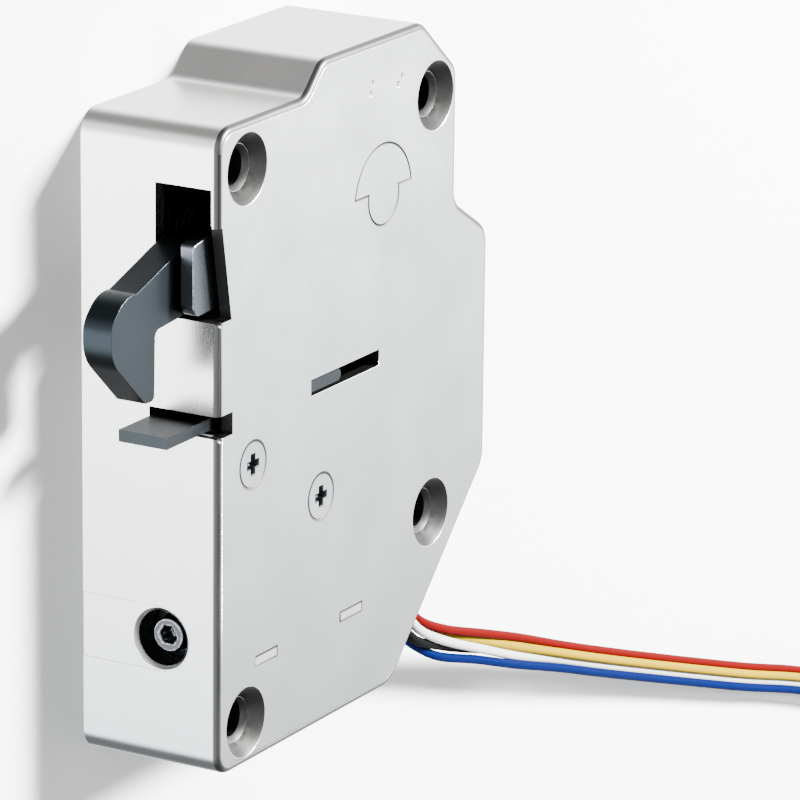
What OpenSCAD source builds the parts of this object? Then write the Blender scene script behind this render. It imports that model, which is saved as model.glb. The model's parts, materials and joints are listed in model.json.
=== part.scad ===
// Electric cabinet lock with a swinging hook latch, a push trigger and five connection wires.
// The case lies on its back face at z = 0. +X runs from the latch face to the wires,
// +Y runs up the long side of the case and +Z is the outward normal of the cover.

/* [Case] */
// depth of the case from the latch face to the back edge
body_depth = 65.5; // [65:0.5:66]
// height of the case along its long side
body_height = 85.5; // [85:0.5:88]
// thickness of the case between its back face and its cover face
body_thickness = 19.5; // [19.5:0.5:21]
// thickness of the side walls
wall = 2; // [1.6:0.1:2.2]
// thickness of the floor behind the mechanism
floor_t = 2; // [1.6:0.1:2.2]
// thickness of the cover plate
cover_t = 1.6; // [1.4:0.1:1.6]
// width of the case rim that stays visible around the cover
rim_w = 0.9; // [0.7:0.1:1]
// radius of the outer case corners at the latch face
corner_r = 3; // [2:0.5:3]

/* [Mounting] */
// through bore of the four mounting holes
mount_bore = 4.5; // [4.3:0.1:4.5]
// mouth diameter of the mounting countersinks
mount_mouth = 9; // [8.6:0.1:9]
// spacing of the mounting holes along X
mount_pitch_x = 45; // [44.5:0.5:45]

/* [Latch] */
// distance from the latch face to the nose of the hook
hook_reach = 16.5; // [15.5:0.5:17]
// thickness of the hook plate
hook_t = 4; // [3.6:0.1:4]
// diameter of the latch pivot pin
latch_pin_d = 4; // [3.5:0.1:4]
// thickness of the cheek plate beside the hook
cheek_t = 1.9; // [1.6:0.1:1.9]

/* [Trigger] */
// distance the trigger stands out of the latch face
trigger_reach = 7.9; // [7:0.1:8]
// thickness of the trigger blade
trigger_t = 1.5; // [1.3:0.1:1.5]

/* [Wires] */
// outside diameter of one wire
wire_d = 1.25; // [1.1:0.05:1.25]

/* [Hidden] */
$fn = 48;
e = 0.02;

// the part stands with the middle of its outline box on the origin
origin_x = (body_depth - hook_reach) / 2;
origin_y = body_height / 2;
cover_z = body_thickness - cover_t;

// case outline, anticlockwise from the front bottom corner
top_step = 4;
back_step = 8.5;
slant_x = 42;
slant_y = 24;
outline_pts = [[0, 0], [slant_x, 0], [body_depth, slant_y], [body_depth, 55.3],
               [body_depth - back_step, 60.5],
               [body_depth - back_step, body_height - 7.3], [48.3, body_height], [24, body_height],
               [20, body_height - top_step], [0, body_height - top_step]];
outline_r = [corner_r, 5, 4, 3.5, 3, 2.5, 3, 3, 3, corner_r];

// mounting holes and cover screws
mount_x = 6.5;
mount_pts = [[mount_x, 5.5], [mount_x, body_height - 10],
             [mount_x + mount_pitch_x, body_height - 10], [mount_x + mount_pitch_x, 20.5]];
mount_post_r = 3.75;
mount_sink = (mount_mouth - mount_bore) / 2;
screw_pts = [[8, 38.2], [24.1, 29.9]];
screw_head_d = 6;
screw_d = 3;
screw_len = 8;
screw_post_r = 3;
screw_post_z = 9;
screw_sink = (screw_head_d - screw_d) / 2;
recess_len = 2.5;
recess_w = 0.8;
recess_depth = 1;

// pads and stops that stand on the case floor
root_z = 1;
latch_pad_r = 4;
pawl_pad_r = 3;
pivot_pad_z = 3.8;
rail_pos = [9, 41.6];
rail_size = [4, 6.6, 9.2];
latch_stop = [24.5, 60.8];
latch_stop_r = 1.5;
latch_stop_z = 12;
pawl_stop = [33.5, 50.2];
pawl_stop_r = 1.2;
pawl_stop_z = 10;

// flush plug and punch dimples in the cover
plug_pos = [38.7, 65];
plug_r = 6.9;
plug_y0 = 66;
plug_x0 = 30;
plug_size = [18, 8];
lobe_pos = [38.8, 65.2];
lobe_r = 3.7;
dimple_pts = [[35.9, 80.2], [35.4, 78.9], [42.1, 78.8], [43, 79.7]];
dimple_d = 0.8;
dimple_depth = 0.3;

// latch opening in the latch face
open_y0 = 57.7;
open_y1 = 74.1;
open_z0 = 10.6;
bridge_z = cover_z + 0.7;
notch_y1 = 69.4;
notch_x1 = 3;

// trigger slot, cover slot and lug
slot_y0 = 43.3;
slot_y1 = 46.1;
slot_z0 = 9.7;
slot_cover_x = 3.3;
trigger_y0 = 43.75;
trigger_z0 = 10.4;
trigger_z1 = 17.2;
lug_x0 = 21.9;
lug_x1 = 29.2;
guide_x0 = 21.6;
guide_x1 = 38;
guide_y0 = 43.45;
guide_y1 = 45.5;
lug_below = 0.3;
pad_x0 = 23.5;
pad_y1 = 47.2;
pad_h = 3.4;
spring_z = 13.85;
stem_len = 4;
stem_h = 1.5;
stop_x0 = 44;
stop_y0 = 42.4;
stop_size = [2, 3.4, 15];

// emergency release port
port_y = 16.7;
port_z = 11.3;
insert_w = 8.3;
insert_len = 8;
port_bore = 7;
port_mouth = 8;
spindle_x0 = 1.6;
spindle_r = 2.2;
collar_x0 = 4;
collar_x1 = 7.4;
journal_r = 1.5;
hex_w = 2.4;
hex_depth = 2.4;
cam_x0 = 8.1;
cam_x1 = 9.4;
cam_r = 2.6;
cam_len = 5.4;

// latch levels and pivot
pivot = [13.5, 64];
hook_z0 = 11;
hub_r = 5;
disc_z0 = 4;
disc_z1 = 7;
disc_r = 8.5;
cheek_z0 = 15.6;
pin_fit = 0.03;
pin_z0 = 0.8;
pin_z1 = body_thickness - 0.8;
dowel_d = 2;
dowel_pos = [9.9, 63.4];

// pawl
pawl_pivot = [28, 50];
pawl_pin_d = 3;
pawl_hub_r = 4;
pawl_z0 = 4;
pawl_z1 = 7;
pawl_nose_pts = [[13.2, 56.4], [15.2, 56.4], [16, 54], [27, 53.6], [27, 46.5], [21, 50], [13.2, 51.4]];
pawl_arm_pts = [[25.5, 48], [31.9, 50.2], [42.4, 22], [41.6, 18.2], [38.7, 18.2], [38.7, 22]];
notch_pts = [[12.4, 57], [15.8, 57], [20.6, 54], [12.4, 54]];
tongue_pos = [38.7, 18.2];
tongue_size = [1.5, 3.6, 5];

// solenoid
coil_y = 20;
coil_z = 10;
frame_t = 1.2;
frame_y0 = 12;
frame_x0 = 8.6;
frame_x1 = 34.8;
cheek_front_x = 15.4;
tab_x = [11.2, 31.7];
tab_w = 5.3;
bobbin_r = 6.2;
bobbin_tube_r = 3.9;
bobbin_bore_r = 3.2;
plunger_r = 3.1;
plunger_x0 = 9.8;
plunger_x1 = 26;
head_r = 3.6;
head_t = 1.2;
rod_r = 1.2;
rod_x1 = 38.4;
winding_r = 5.8;
flange_t = 1;
cheek_w = 15;
cheek_low = 3.4;
cheek_h = 13.2;
frame_gap = 0.3;

// microswitch
switch_x0 = 36;
switch_x1 = 48.8;
switch_y0 = 49;
switch_y1 = 55.5;
switch_z0 = 9;
switch_z1 = 14.8;
lever_pivot = [47, 46.7];
lever_tip_x = 36;
lever_y0 = 46.2;
lever_t = 0.5;
lever_z0 = 11;
lever_w = 1.8;
lever_eye_r = 0.6;
switch_pin_x = [38.5, 46.3];
switch_pin_y = 51.4;
switch_pin_d = 2;
switch_pin_z0 = 5;
arm_x0 = 45.9;
arm_y0 = 46;
terminal_y = [50, 52.25, 54.5];
terminal_len = 2.4;

// wire exit in the middle of the slanted back edge
exit_y = 11;
exit_pos = [slant_x + (body_depth - slant_x) * exit_y / slant_y, exit_y];
exit_turn = -atan((body_depth - slant_x) / slant_y);
exit_z = 10;
exit_bore_r = 3.2;
bush_bore_r = 1.8;
lead_r = 0.5;

// ---------- helpers ----------
function unit(v) = v / norm(v);
function left(v) = [-v[1], v[0]];
function at(p, i) = p[(i + len(p)) % len(p)];
function dir_in(p, i) = unit(at(p, i) - at(p, i - 1));
function dir_out(p, i) = unit(at(p, i + 1) - at(p, i));
function is_convex(p, i) = dir_in(p, i)[0] * dir_out(p, i)[1] - dir_in(p, i)[1] * dir_out(p, i)[0] > 0;
function cut_len(p, i, r) = r * tan(acos(dir_in(p, i) * dir_out(p, i)) / 2);
function tangent_in(p, i, r) = at(p, i) - dir_in(p, i) * cut_len(p, i, r);
function tangent_out(p, i, r) = at(p, i) + dir_out(p, i) * cut_len(p, i, r);
function arc_centre(p, i, r) =
    tangent_in(p, i, r) + left(dir_in(p, i)) * (is_convex(p, i) ? r : -r);
function inset(p, w) = [for (i = [0:len(p) - 1])
    at(p, i) + w * (left(dir_in(p, i)) + left(dir_out(p, i))) / (1 + dir_in(p, i) * dir_out(p, i))];
function inset_r(p, r, w) = [for (i = [0:len(p) - 1]) max(0.2, is_convex(p, i) ? r[i] - w : r[i] + w)];

// polygon with a true arc of radius r[i] on every corner
module rounded(p, r) {
    difference() {
        union() {
            polygon([for (i = [0:len(p) - 1]) for (k = [0, 1])
                k == 0 ? tangent_in(p, i, r[i]) : tangent_out(p, i, r[i])]);
            for (i = [0:len(p) - 1])
                if (is_convex(p, i)) translate(arc_centre(p, i, r[i])) circle(r[i]);
        }
        for (i = [0:len(p) - 1])
            if (!is_convex(p, i)) translate(arc_centre(p, i, r[i])) circle(r[i]);
    }
}

module case_shape(w) {
    rounded(inset(outline_pts, w), inset_r(outline_pts, outline_r, w));
}

module place() {
    translate([-origin_x, -origin_y, 0]) children();
}

// cylinder along +X from x0, standing at (y, z)
module rod_x(x0, x1, y, z, r) {
    translate([x0, y, z]) rotate([0, 90, 0]) cylinder(r = r, h = x1 - x0);
}

module slab(z0, z1) {
    translate([0, 0, z0]) linear_extrude(z1 - z0) children();
}

// children drawn along +X from the wire exit, with the slanted edge as their zero plane
module at_exit() {
    translate([exit_pos[0], exit_pos[1], exit_z]) rotate([0, 0, exit_turn]) children();
}

// smooth curve through hand placed points, steps points per span
function spline_at(a, b, c, d, t) = 0.5 * (2 * b + (c - a) * t + (2 * a - 5 * b + 4 * c - d) * t * t
    + (3 * b - a - 3 * c + d) * t * t * t);
function spline(p, steps) = concat([for (i = [0:len(p) - 2]) for (s = [0:steps - 1])
    spline_at(p[max(i - 1, 0)], p[i], p[i + 1], p[min(i + 2, len(p) - 1)], s / steps)], [p[len(p) - 1]]);

// round tube swept along points; ref is any direction the path never follows
function ring_at(p, i, r, ref, sides) =
    let (t = unit(p[min(i + 1, len(p) - 1)] - p[max(i - 1, 0)]), b1 = unit(cross(t, ref)), b2 = cross(t, b1))
    [for (k = [0:sides - 1]) p[i] + r * (cos(360 * k / sides) * b1 + sin(360 * k / sides) * b2)];
module tube(p, r, ref = [0, 0, 1], sides = 8) {
    n = len(p);
    polyhedron(
        points = [for (i = [0:n - 1]) for (q = ring_at(p, i, r, ref, sides)) q],
        faces = concat(
            [[for (k = [0:sides - 1]) k]],
            [for (i = [0:n - 2]) for (k = [0:sides - 1])
                [i * sides + k, (i + 1) * sides + k, (i + 1) * sides + (k + 1) % sides]],
            [for (i = [0:n - 2]) for (k = [0:sides - 1])
                [i * sides + k, (i + 1) * sides + (k + 1) % sides, i * sides + (k + 1) % sides]],
            [[for (k = [sides - 1:-1:0]) (n - 1) * sides + k]]));
}

function helix_z(c, r, z0, z1, turns, first) = [for (i = [0:turns * 14])
    [c[0] + r * cos(first + i * 360 / 14), c[1] + r * sin(first + i * 360 / 14),
     z0 + (z1 - z0) * i / (turns * 14)]];
function helix_x(y, z, r, x0, x1, turns) = [for (i = [0:turns * 14])
    [x0 + (x1 - x0) * i / (turns * 14), y + r * cos(i * 360 / 14), z + r * sin(i * 360 / 14)]];

// ---------- case ----------
module insert_shape(x0, x1, grow) {
    translate([x0, port_y - insert_w / 2 - grow, -1])
        cube([x1 - x0, insert_w + 2 * grow, port_z + 1]);
    rod_x(x0, x1, port_y, port_z, insert_w / 2 + grow);
}

// wedge that the cheek plate passes through, open at the latch face
module latch_notch() {
    polygon([[-1, open_y0], [notch_x1, open_y0], [rim_w, notch_y1], [-1, notch_y1]]);
}

module stud(p, r, top) {
    translate([p[0], p[1], root_z]) cylinder(r = r, h = top - root_z);
}

module posts() {
    for (p = mount_pts)
        translate([p[0], p[1], 0]) cylinder(r = mount_post_r, h = cover_z);
    // cover screw posts: one short block on the front wall, one full post
    translate([screw_pts[0][0], screw_pts[0][1], screw_post_z])
        cylinder(r = screw_post_r, h = cover_z - screw_post_z);
    translate([root_z, screw_pts[0][1] - screw_post_r, screw_post_z])
        cube([screw_pts[0][0] - root_z, 2 * screw_post_r, cover_z - screw_post_z]);
    stud(screw_pts[1], screw_post_r, cover_z);
    // pivot pads
    stud(pivot, latch_pad_r, pivot_pad_z);
    stud(pawl_pivot, pawl_pad_r, pivot_pad_z);
    // trigger rail, trigger spring stop and switch pad
    translate([rail_pos[0], rail_pos[1], root_z]) cube(rail_size);
    translate([stop_x0, stop_y0, root_z]) cube(stop_size);
    translate([switch_x0, switch_y0, root_z])
        cube([switch_x1 - switch_x0, switch_y1 - switch_y0, switch_z0 - root_z]);
    // stops for the fixed legs of the latch spring and the pawl spring
    stud(latch_stop, latch_stop_r, latch_stop_z);
    stud(pawl_stop, pawl_stop_r, pawl_stop_z);
}

module housing() {
    color("silver") place() difference() {
        union() {
            difference() {
                slab(0, body_thickness) case_shape(0);
                slab(floor_t, body_thickness + 1) case_shape(wall);
                slab(cover_z, body_thickness + 1) case_shape(rim_w);
            }
            intersection() {
                posts();
                slab(0, cover_z) case_shape(1);
            }
        }
        for (p = mount_pts) {
            translate([p[0], p[1], -1]) cylinder(d = mount_bore, h = body_thickness + 2);
            translate([p[0], p[1], body_thickness - mount_sink])
                cylinder(d1 = mount_bore, d2 = mount_mouth, h = mount_sink);
        }
        for (p = screw_pts)
            translate([p[0], p[1], body_thickness - screw_len]) cylinder(d = screw_d, h = screw_len);
        translate([-1, open_y0, open_z0]) cube([wall + 2, open_y1 - open_y0, bridge_z - open_z0]);
        slab(open_z0, body_thickness + 1) latch_notch();
        translate([-1, slot_y0, slot_z0]) cube([wall + 2, slot_y1 - slot_y0, body_thickness]);
        insert_shape(-1, insert_len, 0);
        translate([pivot[0], pivot[1], pin_z0]) cylinder(d = latch_pin_d, h = 5);
        translate([pawl_pivot[0], pawl_pivot[1], pin_z0]) cylinder(d = pawl_pin_d, h = 5);
        at_exit() rod_x(-4, 1, 0, 0, exit_bore_r);
        for (x = switch_pin_x)
            translate([x, switch_pin_y, switch_pin_z0]) cylinder(d = switch_pin_d, h = 5);
    }
}

module cover() {
    color("gainsboro") place() difference() {
        slab(cover_z, body_thickness) case_shape(rim_w);
        for (p = mount_pts)
            translate([p[0], p[1], body_thickness - mount_sink])
                cylinder(d1 = mount_bore, d2 = mount_mouth, h = mount_sink);
        for (p = screw_pts) {
            translate([p[0], p[1], cover_z - 1]) cylinder(d = screw_d, h = 4);
            translate([p[0], p[1], body_thickness - screw_sink])
                cylinder(d1 = screw_d, d2 = screw_head_d, h = screw_sink);
        }
        // latch notch, trigger notch and guide slot
        slab(cover_z - 1, body_thickness + 1) latch_notch();
        translate([-1, slot_y0, cover_z - 1]) cube([slot_cover_x + 1, slot_y1 - slot_y0, 4]);
        translate([guide_x0, guide_y0, cover_z - 1])
            cube([guide_x1 - guide_x0, guide_y1 - guide_y0, 4]);
        slab(cover_z - 1, body_thickness + 1) plug_shape();
        for (x = tab_x)
            translate([x - tab_w / 2, frame_y0, cover_z - 1]) cube([tab_w, frame_t, 4]);
        translate([pivot[0], pivot[1], cover_z - 1]) cylinder(d = latch_pin_d, h = 1 + cover_t - 0.8);
        translate([pawl_pivot[0], pawl_pivot[1], cover_z - 1])
            cylinder(d = pawl_pin_d, h = 1 + cover_t - 0.8);
        // two pairs of punch dimples
        for (p = dimple_pts)
            translate([p[0], p[1], body_thickness - dimple_depth]) cylinder(d = dimple_d, h = 1);
    }
}

module cover_screws() {
    color("lightsteelblue") place() for (p = screw_pts) translate([p[0], p[1], 0]) difference() {
        union() {
            translate([0, 0, body_thickness - screw_len]) cylinder(d = screw_d, h = screw_len - 1.5);
            translate([0, 0, body_thickness - screw_sink])
                cylinder(d1 = screw_d, d2 = screw_head_d, h = screw_sink);
        }
        for (a = [0, 90]) rotate([0, 0, a])
            translate([-recess_len / 2, -recess_w / 2, body_thickness - recess_depth])
                cube([recess_len, recess_w, 2 * recess_depth]);
    }
}

module plug_shape() {
    intersection() {
        translate(plug_pos) circle(plug_r);
        translate([plug_x0, plug_y0]) square(plug_size);
    }
    translate(lobe_pos) circle(lobe_r);
}

module flush_plug() {
    color("gainsboro") place() slab(cover_z, body_thickness) plug_shape();
}

// ---------- emergency release ----------
module release_insert() {
    color("silver") place() difference() {
        intersection() {
            insert_shape(0, insert_len, 0);
            cube([insert_len, 2 * port_y, body_thickness]);
        }
        rod_x(-1, insert_len + 1, port_y, port_z, port_bore / 2);
        translate([-e, port_y, port_z]) rotate([0, 90, 0])
            cylinder(d1 = port_mouth, d2 = port_bore, h = (port_mouth - port_bore) / 2);
    }
}

module release_spindle() {
    color("dimgray") place() difference() {
        union() {
            rod_x(spindle_x0, collar_x0 + 1, port_y, port_z, spindle_r);
            rod_x(collar_x0, collar_x1, port_y, port_z, port_bore / 2 - pin_fit);
            rod_x(collar_x1, cam_x1, port_y, port_z, journal_r);
        }
        translate([spindle_x0 - 1, port_y, port_z]) rotate([0, 90, 0])
            cylinder(d = hex_w, h = hex_depth + 1, $fn = 6);
    }
}

module release_cam() {
    color("slategray") place() difference() {
        union() {
            rod_x(cam_x0, cam_x1, port_y, port_z, cam_r);
            translate([cam_x0, port_y - cam_r / 2, port_z - cam_len])
                cube([cam_x1 - cam_x0, cam_r, cam_len]);
        }
        rod_x(cam_x0 - 1, cam_x1 + 1, port_y, port_z, journal_r);
    }
}

// ---------- latch ----------
hook_pts = [[pivot[0], 68], [1, 67.4], [-hook_reach, 61.5], [-hook_reach, 56.3], [-9.1, 49.4],
            [-7.1, 49.4], [-6.9, 57.9], [pivot[0], 59.5]];
hook_r = [0.5, 4, 3.2, 5, 0.7, 0.7, 1, 0.5];
cheek_pts = [[pivot[0], 68], [4, 67.4], [1.5, 68.3], [-2.35, 67.6], [-2.35, 58.6], [pivot[0], 59.5]];
cheek_r = [0.5, 1, 0.6, 0.5, 1.6, 0.5];

module latch_hook() {
    color("darkslategray") place() difference() {
        union() {
            slab(hook_z0, hook_z0 + hook_t) rounded(hook_pts, hook_r);
            translate([pivot[0], pivot[1], disc_z0]) cylinder(r = hub_r, h = cheek_z0 - disc_z0);
            translate([pivot[0], pivot[1], disc_z0]) cylinder(r = disc_r, h = disc_z1 - disc_z0);
        }
        translate([pivot[0], pivot[1], 0]) cylinder(r = latch_pin_d / 2 + pin_fit, h = 20);
        translate([dowel_pos[0], dowel_pos[1], 12]) cylinder(d = dowel_d, h = 8);
        // ramped notch for the pawl nose
        slab(disc_z0 - 1, disc_z1 + 1)
            polygon(notch_pts);
    }
}

module latch_cheek() {
    color("lightslategray") place() difference() {
        union() {
            slab(cheek_z0, cheek_z0 + cheek_t) rounded(cheek_pts, cheek_r);
            translate([pivot[0], pivot[1], cheek_z0]) cylinder(r = hub_r, h = cheek_t);
        }
        translate([pivot[0], pivot[1], 0]) cylinder(r = latch_pin_d / 2 + pin_fit, h = 20);
        translate([dowel_pos[0], dowel_pos[1], 12]) cylinder(d = dowel_d, h = 8);
    }
}

module cheek_dowel() {
    color("silver") place() translate([dowel_pos[0], dowel_pos[1], 12])
        cylinder(d = dowel_d, h = cheek_z0 + cheek_t - 12);
}

module latch_pin() {
    color("silver") place() translate([pivot[0], pivot[1], pin_z0])
        cylinder(d = latch_pin_d, h = pin_z1 - pin_z0);
}

module latch_spring() {
    color("gray") place()
        tube(concat([[7.5, 69.2, 7.8]],
                    helix_z(pivot, 6, 7.8, 10.2, 3.25, 180),
                    [[19, 58.3, 10.2], [25, 58.9, 10.2]]), 0.35);
}

// ---------- pawl ----------
module pawl() {
    color("slategray") place() difference() {
        slab(pawl_z0, pawl_z1) union() {
            translate(pawl_pivot) circle(pawl_hub_r);
            polygon(pawl_nose_pts);
            polygon(pawl_arm_pts);
        }
        translate([pawl_pivot[0], pawl_pivot[1], 0]) cylinder(r = pawl_pin_d / 2 + pin_fit, h = 20);
    }
    // upright tongue that the push rod meets
    color("slategray") place() translate([tongue_pos[0], tongue_pos[1], pawl_z1]) cube(tongue_size);
}

module pawl_pin() {
    color("silver") place() translate([pawl_pivot[0], pawl_pivot[1], pin_z0])
        cylinder(d = pawl_pin_d, h = pin_z1 - pin_z0);
}

module pawl_spring() {
    color("gray") place()
        tube(concat(helix_z(pawl_pivot, 2.2, 7.4, 9, 3, 270), [[31, 48, 9], [34.4, 48.5, 9]]), 0.25);
}

// ---------- trigger ----------
module trigger() {
    color("slategray") place() {
        translate([-trigger_reach, trigger_y0, trigger_z0])
            cube([trigger_reach + lug_x1, trigger_t, trigger_z1 - trigger_z0]);
        // lug that shows in the cover slot, with a round rear end
        slab(trigger_z1 - e, body_thickness - lug_below) {
            translate([lug_x0, trigger_y0]) square([lug_x1 - lug_x0 - trigger_t / 2, trigger_t]);
            translate([lug_x1 - trigger_t / 2, trigger_y0 + trigger_t / 2]) circle(d = trigger_t);
        }
        // cam pad for the switch and guide stem for the spring
        translate([pad_x0, trigger_y0 + trigger_t, trigger_z0])
            cube([lug_x1 - pad_x0, pad_y1 - trigger_y0 - trigger_t, pad_h]);
        translate([lug_x1, trigger_y0, spring_z - stem_h / 2]) cube([stem_len, trigger_t, stem_h]);
    }
}

module trigger_spring() {
    color("gray") place()
        tube(helix_x(trigger_y0 + trigger_t / 2, spring_z, 1.6, lug_x1 + 0.3, stop_x0 - 0.3, 5),
             0.25, ref = [1, 0, 0]);
}

// ---------- solenoid ----------
module solenoid_frame() {
    color("lightgray") place() difference() {
        union() {
            translate([frame_x0, frame_y0, floor_t]) cube([frame_x1 - frame_x0, frame_t, cover_z - floor_t]);
            for (x = tab_x)
                translate([x - tab_w / 2, frame_y0, cover_z - e]) cube([tab_w, frame_t, cover_t + e]);
            for (x = [cheek_front_x, frame_x1 - frame_t])
                translate([x, frame_y0, cheek_low]) cube([frame_t, cheek_w, cheek_h]);
        }
        rod_x(cheek_front_x - 1, cheek_front_x + 3, coil_y, coil_z, plunger_r + frame_gap);
        rod_x(frame_x1 - 3, frame_x1 + 1, coil_y, coil_z, rod_r + frame_gap);
    }
}

module bobbin() {
    color("ivory") place() difference() {
        union() {
            rod_x(cheek_front_x + frame_t, frame_x1 - frame_t, coil_y, coil_z, bobbin_tube_r);
            rod_x(cheek_front_x + frame_t, cheek_front_x + frame_t + flange_t, coil_y, coil_z, bobbin_r);
            rod_x(frame_x1 - frame_t - flange_t, frame_x1 - frame_t, coil_y, coil_z, bobbin_r);
        }
        rod_x(cheek_front_x, frame_x1, coil_y, coil_z, bobbin_bore_r);
    }
}

module winding() {
    color("peru") place() difference() {
        rod_x(cheek_front_x + frame_t + flange_t, frame_x1 - frame_t - flange_t, coil_y, coil_z, winding_r);
        rod_x(cheek_front_x, frame_x1, coil_y, coil_z, bobbin_tube_r);
    }
}

module plunger() {
    color("silver") place() {
        rod_x(plunger_x0, plunger_x0 + head_t, coil_y, coil_z, head_r);
        rod_x(plunger_x0 + head_t, plunger_x1, coil_y, coil_z, plunger_r);
    }
}

module push_rod() {
    color("goldenrod") place() rod_x(plunger_x1, rod_x1, coil_y, coil_z, rod_r);
}

module plunger_spring() {
    color("gray") place()
        tube(helix_x(coil_y, coil_z, 2.4, plunger_x1 + 0.4, frame_x1 - frame_t - 0.2, 5),
             0.25, ref = [1, 0, 0]);
}

// ---------- microswitch ----------
module switch_body() {
    color("dimgray") place() difference() {
        translate([switch_x0, switch_y0, switch_z0])
            cube([switch_x1 - switch_x0, switch_y1 - switch_y0, switch_z1 - switch_z0]);
        for (x = switch_pin_x) translate([x, switch_pin_y, switch_pin_z0]) cylinder(d = switch_pin_d, h = 12);
    }
    color("dimgray") place() difference() {
        translate([arm_x0, arm_y0, lever_z0 - 1]) cube([2.2, switch_y0 - arm_y0, lever_w + 2]);
        translate([lever_pivot[0] - 2, lever_pivot[1] - 1, 10.8]) cube([6, 2.3, 2.2]);
    }
}

module switch_button() {
    color("firebrick") place() translate([39.6, 48.2, lever_z0]) cube([1.4, switch_y0 - 48.2, lever_w]);
}

module switch_lever() {
    color("silver") place() {
        translate([lever_tip_x, lever_y0, lever_z0]) cube([lever_pivot[0] - lever_tip_x, lever_t, lever_w]);
        translate([lever_pivot[0], lever_pivot[1], lever_z0]) cylinder(r = lever_eye_r, h = lever_w);
    }
}

module switch_pins() {
    color("silver") place() for (x = switch_pin_x)
        translate([x, switch_pin_y, switch_pin_z0]) cylinder(d = switch_pin_d, h = switch_z1 - switch_pin_z0);
}

module switch_terminals() {
    color("gold") place() for (y = terminal_y)
        translate([switch_x1, y - 0.25, lever_z0]) cube([terminal_len, 0.5, lever_w]);
}

// ---------- wires ----------
module grommet() {
    color("black") place() at_exit() difference() {
        union() {
            rod_x(-2.8, 0, 0, 0, exit_bore_r);
            rod_x(-3.4, -2.3, 0, 0, 4);
        }
        rod_x(-5, 3, 0, 0, bush_bore_r);
    }
}

// bundle centre line from the bush to the coil, case corner as zero
bundle = [[50.6, 13.1, 10], [52.8, 11, 10], [55.6, 8.2, 10], [59.4, 3.8, 10], [63.9, -0.6, 10],
          [72, -4.6, 9.6], [83.5, -8.9, 9], [96, -13.4, 8.3], [110, -18.5, 7.4], [124, -23.6, 6.4],
          [142, -30, 5.2], [160, -36.3, 4.3], [176, -41.8, 3.8], [192, -47, 3.5],
          [206, -52, 3.4], [225, -59, 3.5]];
// side step and height step of each wire from the centre line, at these points of the bundle
stations = [1, 4, 5, 6, 7, 8, 10];
red_steps = [[1.05, 0.34], [1.35, 0.3], [1.5, 0.3], [1.75, 0.1],
             [1.8, -0.2], [1.6, -0.4], [1.55, -0.4]];
yellow_steps = [[0.65, -0.89], [0.7, -1.1], [0.75, -1], [0.7, -0.75],
                [0.55, -0.05], [0.52, 0.4], [0.52, 0.4]];
white_steps = [[0, 1.1], [0, 0.9], [-0.05, 1], [-0.35, 0.65],
               [-0.75, -0.15], [-0.5, -0.4], [-0.5, -0.4]];
blue_steps = [[-0.65, -0.89], [-1.3, -1.3], [-2.2, -0.5], [-1.9, 0.1],
              [-1.9, 0.3], [-1.6, 0.4], [-1.5, 0.4]];
black_steps = [[-1.05, 0.34], [-1.35, 0.5], [-0.8, 0], [-0.6, -1.05],
               [0, -1.35], [0.52, -1.3], [0.52, -1.3]];

function side_of(i) = let (d = bundle[min(i + 1, len(bundle) - 1)] - bundle[max(i - 1, 0)])
    unit([-d[1], d[0]]);
function step_at(s, i) = [for (k = [0, 1])
    lookup(i, [for (n = [0:len(stations) - 1]) [stations[n], s[n][k]]])];
function wire_path(s) = [for (i = [0:len(bundle) - 1]) let (w = step_at(s, i))
    bundle[i] + [side_of(i)[0] * w[0], side_of(i)[1] * w[0], w[1]]];

module wire(s) {
    place() tube(spline(wire_path(s), 3), wire_d / 2);
}

module wire_red() {
    color("red") wire(red_steps);
}

module wire_yellow() {
    color("gold") wire(yellow_steps);
}

module wire_white() {
    color("white") wire(white_steps);
}

module wire_blue() {
    color("mediumblue") wire(blue_steps);
}

module wire_black() {
    color("black") wire(black_steps);
}

// the spare length lies in one round coil
coil_centre = [223, -71];
coil_r = 12;
coil_section_r = 2.7;
tie_t = 0.8;
coil_lift = coil_section_r + tie_t;

module wire_coil() {
    color("gray") place() translate([coil_centre[0], coil_centre[1], coil_lift])
        rotate_extrude() translate([coil_r, 0]) circle(coil_section_r);
}

module cable_ties() {
    color("whitesmoke") place() for (s = [-1, 1])
        translate([coil_centre[0] + s * coil_r, coil_centre[1], coil_lift]) {
            rotate([90, 0, 0]) translate([0, 0, -1.2]) difference() {
                cylinder(r = coil_section_r + tie_t, h = 2.4);
                translate([0, 0, -1]) cylinder(r = coil_section_r, h = 5);
            }
            translate([s * 3.9 - 1, -1.9, -1.5]) cube([2.4, 3.8, 3]);
        }
}

module coil_leads() {
    color("dimgray") place() {
        tube(spline([[31.8, 26.5, 12], [33.4, 28.4, 12.4], [37, 29, 13], [41, 27.4, 13.7], [45, 23.5, 13.7],
                     [46, 20, 13.7], [46.8, 17, 12.6], [48.7, 15.8, 11], [50.6, 14.6, 10.4]], 2), lead_r);
        tube(spline([[31.8, 26.5, 9.4], [33.4, 28.2, 9.8], [37, 28.4, 11], [41, 27, 11.9], [45.6, 23.4, 11.9],
                     [46, 20, 11.9], [46.6, 17, 11.4], [47.6, 14.8, 10.7], [49.2, 13.2, 10.4]], 2), lead_r);
    }
}

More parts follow.
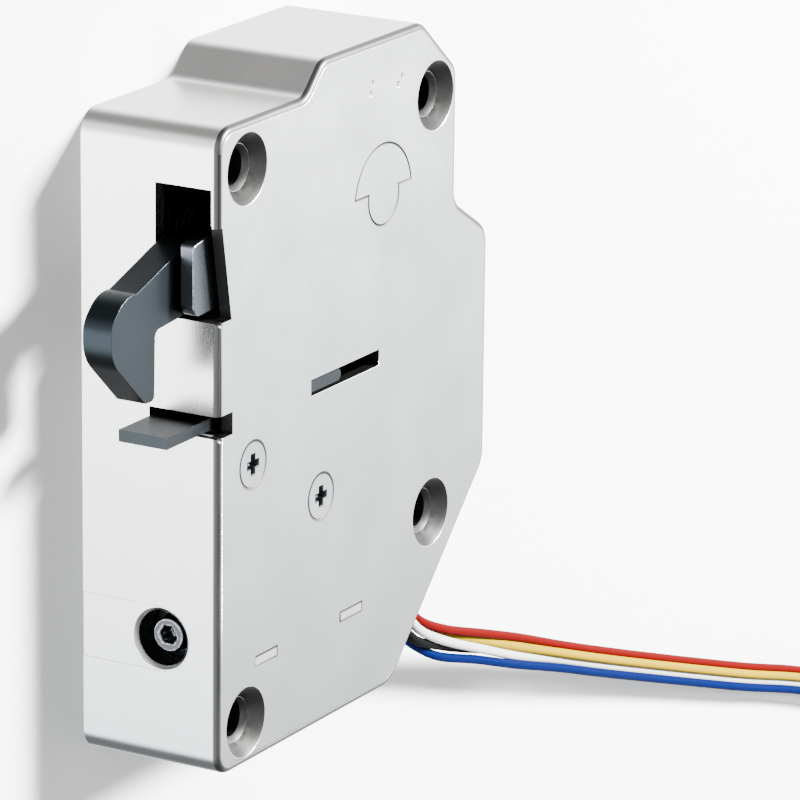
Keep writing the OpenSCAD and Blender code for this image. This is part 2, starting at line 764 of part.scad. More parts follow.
module switch_leads() {
    color("dimgray") place() {
        tube(spline([[51.2, 50, 11.9], [53.4, 49, 11.9], [54.4, 45, 11.5],
                     [53.4, 36, 10.6], [48.6, 27.4, 10.1], [46, 21.5, 10.1],
                     [46.4, 17.6, 9.9], [48.4, 15.9, 9.4], [50.3, 14.4, 9.1]], 3), lead_r);
        tube(spline([[51.2, 52.2, 11.9], [54.6, 51.6, 12.2], [56.4, 46, 12.8],
                     [55, 36, 14], [49.4, 27.8, 15.2], [46.2, 21.5, 15.5],
                     [46.6, 17.6, 14.6], [48.2, 15.4, 12.4], [49.9, 13.9, 11.1]], 3), lead_r);
        tube(spline([[51.2, 54.5, 11.9], [55.6, 53.8, 11.4], [58, 47, 10.8],
                     [56.4, 36, 9.6], [50, 27.6, 8.6], [46.2, 21.5, 8.3],
                     [46.2, 17.2, 8.3], [47.8, 14.9, 8.8], [49.4, 13.4, 9.1]], 3), lead_r);
    }
}

housing();
cover();
cover_screws();
flush_plug();
release_insert();
release_spindle();
release_cam();
latch_hook();
latch_cheek();
cheek_dowel();
latch_pin();
latch_spring();
pawl();
pawl_pin();
pawl_spring();
trigger();
trigger_spring();
solenoid_frame();
bobbin();
winding();
plunger();
push_rod();
plunger_spring();
switch_body();
switch_button();
switch_lever();
switch_pins();
switch_terminals();
grommet();
coil_leads();
switch_leads();
wire_red();
wire_yellow();
wire_white();
wire_blue();
wire_black();
wire_coil();
cable_ties();
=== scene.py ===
import json
import math

import bmesh
import bpy
from mathutils import Matrix, Vector


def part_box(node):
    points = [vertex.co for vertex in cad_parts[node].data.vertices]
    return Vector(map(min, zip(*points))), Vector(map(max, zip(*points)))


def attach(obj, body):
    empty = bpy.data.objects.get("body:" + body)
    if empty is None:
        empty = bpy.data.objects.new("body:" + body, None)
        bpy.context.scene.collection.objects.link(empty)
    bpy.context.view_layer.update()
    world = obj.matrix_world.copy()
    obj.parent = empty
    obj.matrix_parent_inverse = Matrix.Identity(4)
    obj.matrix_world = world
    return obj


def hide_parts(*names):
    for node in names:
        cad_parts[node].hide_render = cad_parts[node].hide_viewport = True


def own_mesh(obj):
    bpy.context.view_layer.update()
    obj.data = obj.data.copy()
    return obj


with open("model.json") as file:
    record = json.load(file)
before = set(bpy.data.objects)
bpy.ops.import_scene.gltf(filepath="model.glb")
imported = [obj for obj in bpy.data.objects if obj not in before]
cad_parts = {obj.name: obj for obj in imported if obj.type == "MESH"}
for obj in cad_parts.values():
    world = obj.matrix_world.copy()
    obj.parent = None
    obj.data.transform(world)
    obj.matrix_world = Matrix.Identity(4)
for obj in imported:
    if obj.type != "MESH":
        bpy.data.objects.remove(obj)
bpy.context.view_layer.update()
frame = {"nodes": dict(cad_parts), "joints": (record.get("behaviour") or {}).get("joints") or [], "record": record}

# The lock lies on its back face: +X runs from the latch face to the wires, +Y up the long side
# of the case and +Z out of the cover. Lengths below are millimetres from the case's front
# bottom corner, as in part.scad, and at() turns them into metres in the row frame.
MM = 0.001
CORNER, CASE_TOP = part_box("housing")


def at(x, y, z=0.0):
    return Vector((CORNER.x + x * MM, CORNER.y + y * MM, CORNER.z + z * MM))


def link(name, data):
    """Puts a new object that holds the data into the scene."""
    obj = bpy.data.objects.new(name, data)
    bpy.context.scene.collection.objects.link(obj)
    return obj


# ---------------------------------------------------------------- camera
CAMERA_PLACE = at(-552.2, 241.0, 364.6)
CAMERA_AIM = at(59.8, 31.94, 10.0)
CAMERA_ROLL = -0.64  # degrees
LENS = 255.1
SENSOR = 36.0


def add_camera():
    data = bpy.data.cameras.new("camera")
    data.sensor_width = SENSOR
    data.lens = LENS
    data.clip_start = 0.05
    data.clip_end = 20.0
    cam = link("camera", data)
    forward = (CAMERA_AIM - CAMERA_PLACE).normalized()
    level = forward.cross(Vector((0, 1, 0))).normalized()
    right = Matrix.Rotation(math.radians(CAMERA_ROLL), 3, forward) @ level
    up = right.cross(forward)
    turn = Matrix((right, up, -forward)).transposed()
    cam.matrix_world = Matrix.Translation(CAMERA_PLACE) @ turn.to_4x4()
    bpy.context.scene.camera = cam


add_camera()

# ---------------------------------------------------------------- cords
WIRE_D = 1.25
WIRE_LENGTH = 0.30  # metres
# The bundle's centre line from the bush to the coil.
BUNDLE = [
    (50.6, 13.1, 10), (52.8, 11, 10), (55.6, 8.2, 10), (59.4, 3.8, 10), (63.9, -0.6, 10),
    (72, -4.6, 9.6), (83.5, -8.9, 9), (96, -13.4, 8.3), (110, -18.5, 7.4), (124, -23.6, 6.4),
    (142, -30, 5.2), (160, -36.3, 4.3), (176, -41.8, 3.8), (192, -47, 3.5), (206, -52, 3.4),
]
SMOOTH_STEPS = 5
# Each wire's steps to the side and up from that line, at these points of it.
STATIONS = [1, 4, 5, 6, 7, 8, 10]
STEPS = {
    "red": [(1.05, 0.34), (1.35, 0.3), (1.5, 0.3), (1.75, 0.1),
            (1.8, -0.2), (1.6, -0.4), (1.55, -0.4)],
    "yellow": [(0.65, -0.89), (0.7, -1.1), (0.75, -1), (0.7, -0.75),
               (0.55, -0.05), (0.52, 0.4), (0.52, 0.4)],
    "white": [(0, 1.1), (0, 0.9), (-0.05, 1), (-0.35, 0.65),
              (-0.75, -0.15), (-0.5, -0.4), (-0.5, -0.4)],
    "blue": [(-0.65, -0.89), (-1.3, -1.3), (-2.2, -0.5), (-1.9, 0.1),
             (-1.9, 0.3), (-1.6, 0.4), (-1.5, 0.4)],
    "black": [(-1.05, 0.34), (-1.35, 0.5), (-0.8, 0), (-0.6, -1.05),
              (0, -1.35), (0.52, -1.3), (0.52, -1.3)],
}
# The coil: a wire keeps one place in the section for its first turn, then moves to a second.
COIL_LOW, COIL_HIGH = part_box("wire_coil")
COIL_MID = (COIL_LOW + COIL_HIGH) / 2
COIL_SECTION = (COIL_HIGH.z - COIL_LOW.z) / 2
COIL_R = (COIL_HIGH.x - COIL_LOW.x) / 2 - COIL_SECTION
COIL_START = math.radians(72)
COIL_STEPS = 36  # points in one turn
COIL_POINTS = 84  # more than a wire needs, because cut_to() ends it at its length
CROSSING = (0.72, 1.0)  # turns between which a wire changes place
# Outward and up, in wire diameters, for the first turn and the second.
SLOTS = {
    "red": ((1.56, 0.0), (1.04, 0.9)),
    "yellow": ((0.52, 0.0), (0.0, 0.9)),
    "white": ((-0.52, 0.0), (-1.04, 0.9)),
    "blue": ((-1.56, 0.0), (-1.04, -0.9)),
    "black": ((0.0, -0.9), (1.04, -0.9)),
}
# The stripped and tinned end of a wire.
BARE = 6.0
BARE_STEPS = 14
CORE_R = 0.42
STRANDS = 6
STRAND_TURNS = 1.6
STRAND_SIDES = 8
STRAND_OUT = 0.62  # times the core's radius
STRAND_R = 0.4  # times the core's radius


def step_at(index, steps):
    """A wire's step at a point of the bundle's centre line, between the stations."""
    if index <= STATIONS[0]:
        return Vector(steps[0])
    spans = zip(STATIONS, STATIONS[1:], steps, steps[1:])
    for start, end, first, last in spans:
        if index <= end:
            return Vector(first).lerp(Vector(last), (index - start) / (end - start))
    return Vector(steps[-1])


def smooth(points):
    """Catmull-Rom curve through the points, as in part.scad."""
    out = []
    for i in range(len(points) - 1):
        a, b = points[max(i - 1, 0)], points[i]
        c, d = points[i + 1], points[min(i + 2, len(points) - 1)]
        for s in range(SMOOTH_STEPS):
            t = s / SMOOTH_STEPS
            out.append(0.5 * (2 * b + (c - a) * t + (2 * a - 5 * b + 4 * c - d) * t * t
                              + (3 * b - a - 3 * c + d) * t ** 3))
    return out + [points[-1]]


def wire_run(colour):
    """The wire's visible run, stepped away from the bundle's centre line."""
    line = []
    for i, p in enumerate(BUNDLE):
        a, b = BUNDLE[max(i - 1, 0)], BUNDLE[min(i + 1, len(BUNDLE) - 1)]
        side = Vector((-(b[1] - a[1]), b[0] - a[0], 0)).normalized()
        step = step_at(i, STEPS[colour])
        line.append(at(*p) + side * step.x * MM + Vector((0, 0, step.y * MM)))
    return line


def coil_point(colour, turned):
    """A wire's place in the coil after so many turns."""
    first, second = (Vector(s) * WIRE_D * MM for s in SLOTS[colour])
    t = min(max((turned - CROSSING[0]) / (CROSSING[1] - CROSSING[0]), 0.0), 1.0)
    step = first.lerp(second, t * t * (3 - 2 * t))
    angle = COIL_START - 2 * math.pi * turned
    r = COIL_R + step.x
    return COIL_MID + Vector((r * math.cos(angle), r * math.sin(angle), step.y))


def cut_to(points, length):
    """The first stretch of a line, of that length."""
    out, left = [points[0]], length
    for a, b in zip(points, points[1:]):
        step = (b - a).length
        if step >= left:
            out.append(a.lerp(b, left / step))
            return out
        out.append(b)
        left -= step
    return out


def curve_of(name, points, radius):
    """A round wire along the points."""
    data = bpy.data.curves.new(name, "CURVE")
    data.dimensions = "3D"
    data.bevel_depth = 1.0  # times each point's own radius, which keeps the curve's box tight
    data.bevel_resolution = 4
    data.use_fill_caps = True
    line = data.splines.new("POLY")
    line.points.add(len(points) - 1)
    for p, q in zip(line.points, points):
        p.co = (*q, 1.0)
        p.radius = radius
    line.use_smooth = True
    return link(name, data)


def mesh_piece(name, bm):
    """An object of the mesh, smooth all over, with its faces turned outward."""
    bmesh.ops.recalc_face_normals(bm, faces=bm.faces)
    data = bpy.data.meshes.new(name)
    bm.to_mesh(data)
    bm.free()
    data.polygons.foreach_set("use_smooth", [True] * len(data.polygons))
    return link(name, data)


def add_strand(bm, line, radius, phase):
    """One strand of the twist round the line, as a closed tube."""
    loops = []
    last = len(line) - 1
    for i, p in enumerate(line):
        ahead = (line[min(i + 1, last)] - line[max(i - 1, 0)]).normalized()
        out = ahead.cross(Vector((0, 0, 1))).normalized()
        up = out.cross(ahead)
        a = 2 * math.pi * (phase + STRAND_TURNS * i / last)
        mid = p + (out * math.cos(a) + up * math.sin(a)) * radius * STRAND_OUT
        ring = []
        for k in range(STRAND_SIDES):
            b = 2 * math.pi * k / STRAND_SIDES
            ring.append(bm.verts.new(mid + (out * math.cos(b) + up * math.sin(b)) * radius * STRAND_R))
        loops.append(ring)
    for a, b in zip(loops, loops[1:]):
        for k in range(STRAND_SIDES):
            after = (k + 1) % STRAND_SIDES
            bm.faces.new((a[k], a[after], b[after], b[k]))
    bm.faces.new(loops[0][::-1])
    bm.faces.new(loops[-1])


def tinned_end(name, line, radius):
    """Twisted strands, tinned together, along the last stretch of the wire."""
    bm = bmesh.new()
    for s in range(STRANDS):
        add_strand(bm, line, radius, s / STRANDS)
    return mesh_piece(name, bm)


def add_wire(colour):
    """One wire with its bare end. The red one also stands for the CAD coil."""
    turns = [coil_point(colour, i / COIL_STEPS) for i in range(COIL_POINTS)]
    line = smooth(wire_run(colour) + [turns[0]])[:-1] + turns
    sleeve = cut_to(line, WIRE_LENGTH - BARE * MM)
    end = [sleeve[-1]]
    for k in range(1, BARE_STEPS + 1):
        end.append(cut_to(line, WIRE_LENGTH - BARE * MM * (1 - k / BARE_STEPS))[-1])
    wire = curve_of("cord_" + colour, sleeve, WIRE_D / 2 * MM)
    core = tinned_end("tinned_end_" + colour, end, CORE_R * MM)
    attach(wire, "case")
    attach(core, "case")
    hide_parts("wire_" + colour)
    if colour == "red":
        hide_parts("wire_coil")


for wire_colour in STEPS:
    add_wire(wire_colour)


# ---------------------------------------------------------------- materials
class Nodes:
    """A short way to write the shader nodes of a material or a world."""

    def __init__(self, owner):
        owner.use_nodes = True
        self.tree = owner.node_tree
        self.tree.nodes.clear()
        self.coordinates = self.add("ShaderNodeTexCoord").outputs

    def add(self, kind, **facts):
        node = self.tree.nodes.new(kind)
        for key, value in facts.items():
            setattr(node, key, value)
        return node

    def put(self, node, values):
        """Sets or links the node's inputs, by name or by number."""
        for key, value in values.items():
            if isinstance(value, bpy.types.NodeSocket):
                self.tree.links.new(value, node.inputs[key])
            else:
                node.inputs[key].default_value = value
        return node

    def noise(self, scale, detail=4.0, rough=0.5, stretch=(1, 1, 1)):
        place = {"Vector": self.coordinates["Object"], "Scale": stretch}
        moved = self.put(self.add("ShaderNodeMapping"), place)
        facts = {"Vector": moved.outputs[0], "Scale": scale, "Detail": detail, "Roughness": rough}
        return self.put(self.add("ShaderNodeTexNoise"), facts).outputs["Fac"]

    def remap(self, value, low, high, to_low=0.0, to_high=1.0, kind="LINEAR"):
        node = self.add("ShaderNodeMapRange", interpolation_type=kind)
        return self.put(node, {0: value, 1: low, 2: high, 3: to_low, 4: to_high}).outputs[0]

    def maths(self, kind, a, b=0.0):
        return self.put(self.add("ShaderNodeMath", operation=kind), {0: a, 1: b}).outputs[0]

    def mix(self, share, a, b, kind="MIX"):
        node = self.add("ShaderNodeMix", data_type="RGBA", blend_type=kind)
        return self.put(node, {0: share, 6: a, 7: b}).outputs[2]

    def bumped(self, height, strength, distance, under=None):
        facts = {"Height": height, "Strength": strength, "Distance": distance}
        node = self.put(self.add("ShaderNodeBump"), facts)
        if under is not None:
            self.put(node, {"Normal": under})
        return node.outputs[0]


# Noise scales, in features per metre, and how far up the case the painted shade fades from the dark low tone to
# the base colour.
BROAD = 90.0
MIDDLE = 900.0
SPECKS = 3200.0
WEAR = 1400.0
GRIME = 400.0
SHADE_FADE_LOW, SHADE_FADE_HIGH = -0.04, 0.036


def tone(colour, k=1.0):
    return tuple(min(max(c * k, 0.0), 1.0) for c in colour[:3]) + (1.0,)


def base_with_painted_shade(n, base, low):
    """The base colour, or painted shade: a blend up the case from the dark low tone at the bottom to the base."""
    if low is None:
        return tone(base)
    height = n.put(n.add("ShaderNodeSeparateXYZ"), {0: n.coordinates["Object"]}).outputs["Y"]
    return n.mix(n.remap(height, SHADE_FADE_LOW, SHADE_FADE_HIGH), tone(low), tone(base))


def finish_material(name, base, low=None, metallic=0.0, rough=0.4, spread=0.08, blotch=0.06,
                    grain=9000.0, grain_depth=0.000004, stretch=(1, 1, 1), shine=0.5,
                    worn=None, specks=0.0, dirt=0.0):
    """One procedural finish: mottled colour, uneven gloss, fine grain, an edge colour for wear and for painted
    edge shade, and an optional low tone painted as shade towards the bottom.
    """
    material = bpy.data.materials.new(name)
    n = Nodes(material)
    broad = n.noise(BROAD, 3.0)
    fine = n.noise(grain, 3.0, 0.6, stretch)
    middle = n.noise(MIDDLE, 5.0, 0.6, stretch)

    mottle = n.maths("ADD", n.maths("MULTIPLY", broad, 0.6), n.maths("MULTIPLY", middle, 0.4))
    shade = n.mix(n.remap(mottle, 0.3, 0.7), tone((1 - blotch,) * 3), tone((1.0, 1.0, 1.0)))
    colour = n.mix(1.0, base_with_painted_shade(n, base, low), shade, "MULTIPLY")
    uneven = n.maths("ADD", n.maths("MULTIPLY", fine, 0.5), n.maths("MULTIPLY", broad, 0.5))
    gloss = n.remap(uneven, 0.3, 0.7, rough - spread, rough + spread)

    if specks:
        dots = n.remap(n.noise(SPECKS, 2.0), 0.66, 0.72)
        colour = n.mix(n.maths("MULTIPLY", dots, specks), colour, tone(base, 0.45))
    if worn is not None:
        edge = n.add("ShaderNodeAttribute", attribute_name="worn").outputs["Fac"]
        amount = n.maths("MULTIPLY", edge, n.remap(n.noise(WEAR, 4.0), 0.35, 0.6))
        colour = n.mix(amount, colour, tone(worn))
        gloss = n.maths("SUBTRACT", gloss, n.maths("MULTIPLY", amount, 0.08))
    if dirt:
        deep = n.remap(n.noise(GRIME, 6.0, 0.65), 0.5, 0.75)
        colour = n.mix(n.maths("MULTIPLY", deep, dirt), colour, tone(base, 0.6))

    surface = n.bumped(fine, 0.35, grain_depth, n.bumped(middle, 0.2, grain_depth * 2))
    shader = n.put(n.add("ShaderNodeBsdfPrincipled"), {
        "Base Color": colour, "Roughness": gloss, "Metallic": metallic,
        "Specular IOR Level": shine, "Normal": surface})
    n.put(n.add("ShaderNodeOutputMaterial"), {"Surface": shader.outputs[0]})
    return material


def metal(base, rough, **facts):
    return dict(base=base, rough=rough, metallic=1.0, **facts)


def plastic(base, rough, **facts):
    return dict(base=base, rough=rough, **facts)


FINISHES = {
    # case and cover; their low tones are painted shade, darker towards the bottom of the case
    "case_metal": metal((0.88, 0.85, 0.82), 0.27, low=(0.42, 0.44, 0.455), spread=0.05,
                        blotch=0.05, worn=(0.9, 0.9, 0.9), stretch=(1, 0.12, 1)),
    "cover_metal": metal((0.73, 0.755, 0.76), 0.33, low=(0.4, 0.425, 0.43), spread=0.05,
                         blotch=0.05, worn=(0.9, 0.9, 0.9), specks=0.12),
    # painted shade: the case metal's rounding round the cover coloured dark
    "rim_painted_shade": metal((0.1, 0.1, 0.1), 0.4, blotch=0.1),
    # painted shade in the gaps round the plug, the screws and the frame tabs
    "seam_painted_shade": metal((0.07, 0.07, 0.07), 0.5, blotch=0.1),
    # painted shade: countersinks coloured dark where shade falls in the holes
    "countersink_painted_shade": metal((0.06, 0.06, 0.058), 0.42, blotch=0.12, grain=4000.0),
    # painted shade for the bores, the opening walls and the inside of the case
    "bore_painted_shade": metal((0.03, 0.03, 0.03), 0.5, blotch=0.12),
    # the screws' dark edge colour is painted shade on the rounded head edges
    "screw_steel": metal((0.56, 0.57, 0.58), 0.3, blotch=0.08, dirt=0.2,
                         worn=(0.06, 0.062, 0.066)),
    # painted shade in the screws' cross recess and round their heads
    "recess_painted_shade": metal((0.03, 0.032, 0.036), 0.5),
    # moving pieces
    "latch_steel": metal((0.024, 0.031, 0.036), 0.36, spread=0.05, dirt=0.08,
                         worn=(0.045, 0.052, 0.058), grain=7000.0, grain_depth=0.000008),
    "cheek_steel": metal((0.12, 0.135, 0.155), 0.3, worn=(0.4, 0.42, 0.46),
                         grain_depth=0.000006),
    # the trigger's dark edge colour is painted shade on its rounded edges
    "trigger_steel": metal((0.03, 0.036, 0.04), 0.36, blotch=0.08, dirt=0.12,
                           worn=(0.012, 0.015, 0.018), grain=7000.0, grain_depth=0.000008),
    "spindle_steel": metal((0.045, 0.05, 0.055), 0.24, worn=(0.3, 0.31, 0.33)),
    "pin_steel": metal((0.3, 0.31, 0.32), 0.22, stretch=(1, 1, 0.1)),
    "spring_steel": metal((0.02, 0.02, 0.021), 0.45),
    # solenoid and switch
    "frame_steel": metal((0.66, 0.67, 0.66), 0.32, blotch=0.05),
    "rod_brass": metal((0.78, 0.56, 0.25), 0.26, stretch=(0.1, 1, 1)),
    "winding_copper": metal((0.62, 0.26, 0.1), 0.3, stretch=(6, 0.1, 0.1), grain=3000.0,
                            grain_depth=0.00008),
    "terminal_brass": metal((0.75, 0.66, 0.42), 0.3),
    "bobbin_plastic": plastic((0.3, 0.28, 0.22), 0.45),
    "switch_plastic": plastic((0.01, 0.01, 0.012), 0.5),
    "button_plastic": plastic((0.08, 0.008, 0.006), 0.3),
    # wires
    "bush_rubber": plastic((0.004, 0.004, 0.004), 0.62, grain_depth=0.00001),
    "lead_insulation": plastic((0.02, 0.02, 0.022), 0.4),
    "coil_insulation": plastic((0.3, 0.3, 0.3), 0.4),
    "tie_plastic": plastic((0.4, 0.4, 0.38), 0.35, grain_depth=0.00001),
    "tinned_copper": metal((0.72, 0.72, 0.7), 0.25),
}
WIRE_COLOURS = {
    "red": (0.075, 0.0003, 0.0002),
    "yellow": (0.27, 0.18, 0.0001),
    "white": (0.45, 0.46, 0.45),
    "blue": (0.0002, 0.004, 0.045),
    "black": (0.003, 0.003, 0.0035),
}
for wire_colour, tint in WIRE_COLOURS.items():
    FINISHES[wire_colour + "_insulation"] = plastic(
        tint, 0.6, spread=0.06, blotch=0.05, shine=0.02, grain=2500.0, grain_depth=0.00001,
        stretch=(0.3, 1, 1))
MATERIALS = {name: finish_material(name, **facts) for name, facts in FINISHES.items()}
SLOT_OF = {row["node"]: row["material_slot"] for row in frame["record"]["subparts"]}


def dress(name, finish):
    """Gives a wire's piece its finish."""
    piece = bpy.data.objects[name]
    piece.data.materials.clear()
    piece.data.materials.append(MATERIALS[finish])


def dress_all():
    for node, slot_name in SLOT_OF.items():
        for place in frame["nodes"][node].material_slots:
            place.material = MATERIALS[slot_name]
    for colour in STEPS:
        dress("cord_" + colour, colour + "_insulation")
        dress("tinned_end_" + colour, "tinned_copper")


dress_all()

# ---------------------------------------------------------------- pieces with softened edges
BODY_OF = {}
for body, members in frame["record"]["behaviour"]["bodies"].items():
    for member in members:
        BODY_OF[member] = body
JOINTS = {joint["name"]: joint for joint in frame["joints"]}
HOLES = [mount["pos_m"] for mount in frame["record"]["mounts"] if mount["kind"] == "bore"]
HOLE_REACH = 4.6
PORT = Vector(JOINTS["release_turn"]["pos_m"])
PORT_REACH = 3.6
PORT_LIP = 0.6
SEAM_REACH = 0.3
TAB_REACH = 1.5
SHARP = math.radians(32.0)
FLAT = math.radians(0.4)
RIM_ROUND = 0.72
# The lowest and highest corners of the latch opening with its notch, the trigger slot and the
# guide slot, and of the space within the walls.
OPENINGS = [
    ((-1, 57.4, 10.4), (3.2, 74.3, 21)),
    ((-1, 43.2, 9.5), (3.5, 46.2, 21)),
    ((21.4, 43.3, 10), (38.2, 45.6, 19.45)),
]
INSIDE = ((1.8, 1.8, 1.5), (54.5, 79.6, 17.7))
SLANT = 40  # x - y at which the slanted wall starts
FACE_DEPTH = 0.2  # the case's front face ends here


def copy_of(node):
    """The node's own mesh with its flat faces joined again."""
    bm = bmesh.new()
    bm.from_mesh(frame["nodes"][node].data)
    bm.faces.layers.float.new("worn")
    bmesh.ops.remove_doubles(bm, verts=bm.verts, dist=2e-6)
    bmesh.ops.dissolve_limit(bm, angle_limit=FLAT, verts=bm.verts, edges=bm.edges)
    return bm


def sharp_edges(bm):
    return [e for e in bm.edges if e.is_manifold and e.calc_face_angle(0.0) > SHARP]


def middle_of(edge):
    return (edge.verts[0].co + edge.verts[1].co) / 2


def round_over(bm, edges, width, segments, worn=1.0, material=0, clamp=True):
    """Rounds the edges by a width in millimetres, and notes how much edge colour, for wear and for painted edge
    shade, the new faces take.
    """
    if not edges:
        return
    made = bmesh.ops.bevel(bm, geom=edges, offset=width * MM, offset_type="OFFSET",
                           segments=segments, profile=0.5, affect="EDGES",
                           clamp_overlap=clamp, loop_slide=True, harden_normals=False)
    layer = bm.faces.layers.float["worn"]
    for f in made["faces"]:
        f[layer] = worn
        f.material_index = material


def as_piece(bm, name, node, finishes):
    """Makes the piece that stands for the node, with its flat faces kept flat by the corner
    normals. A face's material number counts along the finishes."""
    bm.normal_update()
    data = bpy.data.meshes.new(name)
    bm.to_mesh(data)
    bm.free()
    for finish in finishes:
        data.materials.append(MATERIALS[finish])
    data.polygons.foreach_set("use_smooth", [True] * len(data.polygons))
    data.set_sharp_from_angle(angle=math.radians(40))
    piece = link(name, data)
    weighted = piece.modifiers.new("corner_normals", "WEIGHTED_NORMAL")
    weighted.keep_sharp = True
    weighted.weight = 80
    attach(piece, BODY_OF[node])
    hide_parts(node)
    return piece


def soften(node, width, segments=3, seam_shade=None):
    """The node's own shape with fine roundings; when a second finish is given, the roundings take it as painted
    shade of the gap round the part.
    """
    bm = copy_of(node)
    finishes = [SLOT_OF[node]]
    if seam_shade:
        finishes.append(seam_shade)
    round_over(bm, sharp_edges(bm), width, segments, material=len(finishes) - 1, clamp=not seam_shade)
    as_piece(bm, node + "_part", node, finishes)


def near_hole(point):
    return any(math.hypot(point.x - x, point.y - y) < HOLE_REACH * MM for x, y, z in HOLES)


def is_between(point, low, high):
    return all(low[i] < point[i] < high[i] for i in range(3))


def in_opening(point):
    return any(is_between(point, at(*low), at(*high)) for low, high in OPENINGS)


def is_inside(point):
    """True within the walls, where the inside is painted dark as shade."""
    before_slant = point.x - point.y < at(SLANT, 0).x - CORNER.y
    return is_between(point, at(*INSIDE[0]), at(*INSIDE[1])) and before_slant and not near_hole(point)


def is_outer_rim(edge, middle):
    """True for the case's top edges that face away from its middle."""
    mid = middle_of(edge)
    upright = [f.normal for f in edge.link_faces if abs(f.normal.z) < 0.1]
    level = [f.normal for f in edge.link_faces if f.normal.z > 0.9]
    on_top = all(abs(v.co.z - CASE_TOP.z) < 0.01 * MM for v in edge.verts)
    return on_top and upright and level and upright[0].dot(mid - middle) > 0 and not near_hole(mid)


def is_seam(point):
    """True beside the flush plug, the cover screws and the two frame tabs."""
    reach = SEAM_REACH * MM
    for node in ("flush_plug", "cover_screws"):
        low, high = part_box(node)
        in_x = low.x - reach < point.x < high.x + reach
        in_y = low.y - reach < point.y < high.y + reach
        if in_x and in_y:
            return True
    low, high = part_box("solenoid_frame")
    return low.x < point.x < high.x and low.y - reach < point.y < low.y + TAB_REACH * MM


def paint_opening_shade(bm, shade):
    """Painted shade: dark walls in the openings and everywhere inside the case."""
    front = at(FACE_DEPTH, 0).x
    for f in bm.faces:
        mid = f.calc_center_median()
        on_wall = in_opening(mid) and mid.x >= front and f.normal.z < 0.99
        if on_wall or is_inside(mid):
            f.material_index = shade


def paint_hole_shade(bm, cone, bore):
    """Painted shade in the four mounting holes: dark countersinks and darker bores."""
    for f in bm.faces:
        if near_hole(f.calc_center_median()) and abs(f.normal.z) < 0.9:
            f.material_index = bore if abs(f.normal.z) < 0.3 else cone


def add_case():
    """Case with a broad rounding round the cover, painted dark as shade, and fine roundings elsewhere."""
    bm = copy_of("housing")
    middle = at(30, 42)
    # painted shade on the broad rounding round the cover
    round_over(bm, [e for e in sharp_edges(bm) if is_outer_rim(e, middle)], RIM_ROUND, 4,
               worn=0.0, material=1)
    round_over(bm, [e for e in sharp_edges(bm) if not in_opening(middle_of(e))], 0.1, 2, worn=0.6)
    paint_hole_shade(bm, 2, 3)
    paint_opening_shade(bm, 3)
    as_piece(bm, "case_shell", "housing", ["case_metal", "rim_painted_shade", "countersink_painted_shade", "bore_painted_shade"])


def add_cover():
    """Cover with painted shade in the seam round the plug, the tabs and the screws."""
    bm = copy_of("cover")
    edges = sharp_edges(bm)
    seams = [e for e in edges if is_seam(middle_of(e))]
    others = [e for e in edges if not is_seam(middle_of(e)) and not in_opening(middle_of(e))]
    # painted shade on the roundings beside the plug, the screws and the tabs
    round_over(bm, seams, 0.2, 2, material=1, clamp=False)
    round_over(bm, [e for e in others if e.is_valid], 0.12, 3)
    paint_hole_shade(bm, 2, 3)
    paint_opening_shade(bm, 3)
    as_piece(bm, "cover_plate", "cover", ["cover_metal", "seam_painted_shade", "countersink_painted_shade", "bore_painted_shade"])


def add_screws():
    """Cover screws with painted shade in the cross recess and a painted dark line round the head."""
    bm = copy_of("cover_screws")
    round_over(bm, sharp_edges(bm), 0.18, 2, clamp=False)
    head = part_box("cover_screws")[1].z - 0.01 * MM
    for f in bm.faces:
        if f.calc_center_median().z < head:
            f.material_index = 1
    as_piece(bm, "cover_screw_heads", "cover_screws", ["screw_steel", "recess_painted_shade"])


def add_insert():
    """Release insert with a bright mouth and painted shade in its bore."""
    bm = copy_of("release_insert")
    round_over(bm, sharp_edges(bm), 0.12, 3)
    lip = at(PORT_LIP, 0).x
    for f in bm.faces:
        mid = f.calc_center_median()
        # faces in the bore take painted shade
        reach = math.hypot(mid.y - PORT.y, mid.z - PORT.z)
        if reach < PORT_REACH * MM and abs(f.normal.x) < 0.3 and mid.x > lip:
            f.material_index = 1
    as_piece(bm, "release_insert_part", "release_insert", ["case_metal", "bore_painted_shade"])


def add_spring(node):
    """A compression spring, as a piece with a mesh of its own."""
    spring = as_piece(copy_of(node), node + "_coil", node, [SLOT_OF[node]])
    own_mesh(spring)


def add_pieces():
    add_case()
    add_cover()
    add_screws()
    # the plug's and the frame's roundings also take the painted gap shade
    soften("flush_plug", 0.16, 2, seam_shade="seam_painted_shade")
    soften("solenoid_frame", 0.14, 2, seam_shade="seam_painted_shade")
    add_insert()
    soften("release_spindle", 0.45, 4)
    soften("release_cam", 0.15, 2)
    soften("latch_hook", 0.38, 4)
    soften("latch_cheek", 0.3, 4)
    soften("trigger", 0.2, 3)
    soften("pawl", 0.2, 2)
    soften("plunger", 0.2, 2)
    soften("grommet", 0.2, 3)
    soften("switch_body", 0.15, 2)
    add_spring("trigger_spring")
    add_spring("plunger_spring")


add_pieces()

# ---------------------------------------------------------------- floor and light
FLOOR_SIZE = 3.0
FLOOR_GAP = 0.02
KEY_PLACE = Vector((0.38, 0.26, 0.62))
KEY_SIZE = 0.17
KEY_POWER = 64.0
STUDIO_COLOUR = (0.97, 0.985, 1.0, 1)
# The studio is bright where |x| of the view direction is large and dark where it is small.
STUDIO_DARK, STUDIO_BRIGHT = 0.4, 2.5
STUDIO_FADE = (0.38, 0.78)
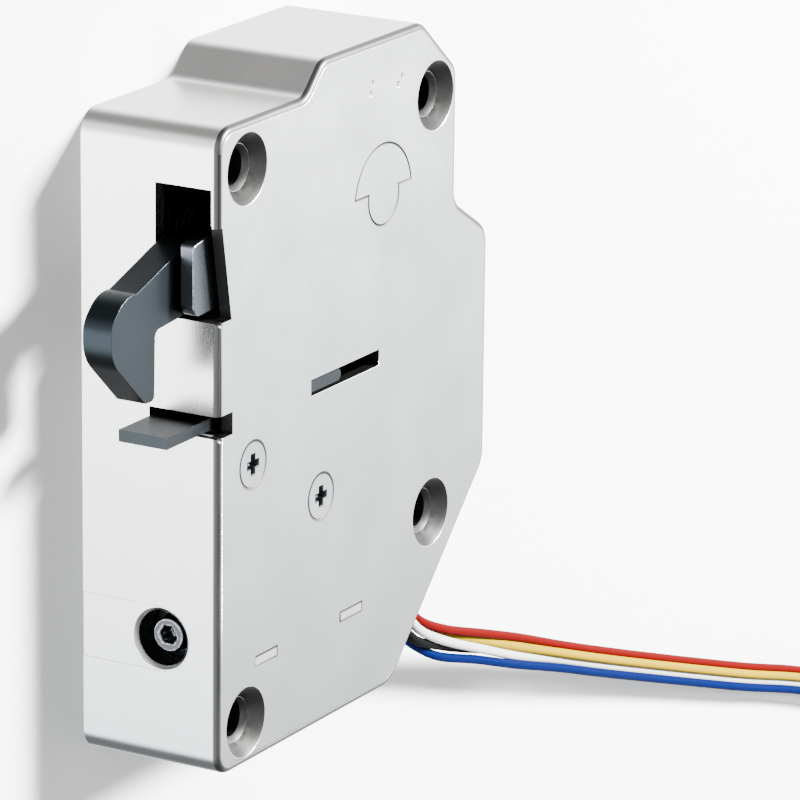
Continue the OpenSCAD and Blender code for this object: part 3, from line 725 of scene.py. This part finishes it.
# Soft panels round the object: direction, inner and outer cosine, strength.
STUDIO = [
    ((-0.83, -0.28, -0.48), 0.985, 0.84, 5.0),
    ((0.83, 0.28, -0.48), 0.97, 0.6, 1.6),
]


def floor_material():
    material = bpy.data.materials.new("floor")
    n = Nodes(material)
    cloud = n.remap(n.noise(3.0, 2.0), 0.3, 0.7)
    colour = n.mix(cloud, tone((0.9, 0.9, 0.9)), tone((0.93, 0.93, 0.93)))
    shader = n.put(n.add("ShaderNodeBsdfPrincipled"), {"Base Color": colour, "Roughness": 0.9})
    n.put(n.add("ShaderNodeOutputMaterial"), {"Surface": shader.outputs[0]})
    return material


def add_floor():
    bm = bmesh.new()
    bmesh.ops.create_grid(bm, x_segments=1, y_segments=1, size=FLOOR_SIZE)
    floor = mesh_piece("floor", bm)
    floor.location.z = CORNER.z - FLOOR_GAP * MM
    floor.data.materials.append(floor_material())
    floor.visible_glossy = False


def add_world():
    world = bpy.data.worlds.new("studio")
    bpy.context.scene.world = world
    n = Nodes(world)
    ray = n.coordinates["Generated"]
    split = n.put(n.add("ShaderNodeSeparateXYZ"), {0: ray})
    side = n.maths("ABSOLUTE", split.outputs["X"])
    total = n.remap(side, *STUDIO_FADE, STUDIO_DARK, STUDIO_BRIGHT, "SMOOTHSTEP")
    for direction, inner, outer, strength in STUDIO:
        facts = {0: ray, 1: Vector(direction).normalized()}
        facing = n.put(n.add("ShaderNodeVectorMath", operation="DOT_PRODUCT"), facts)
        panel = n.remap(facing.outputs["Value"], outer, inner, 0.0, strength, "SMOOTHSTEP")
        total = n.maths("ADD", total, panel)
    background = n.put(n.add("ShaderNodeBackground"), {"Color": STUDIO_COLOUR, "Strength": total})
    n.put(n.add("ShaderNodeOutputWorld"), {"Surface": background.outputs[0]})


def add_key_light():
    data = bpy.data.lights.new("key", "AREA")
    data.size = KEY_SIZE
    data.energy = KEY_POWER
    light = link("key", data)
    light.location = KEY_PLACE
    light.rotation_mode = "QUATERNION"
    light.rotation_quaternion = (-KEY_PLACE).to_track_quat("-Z", "Y")


add_floor()
add_world()
add_key_light()
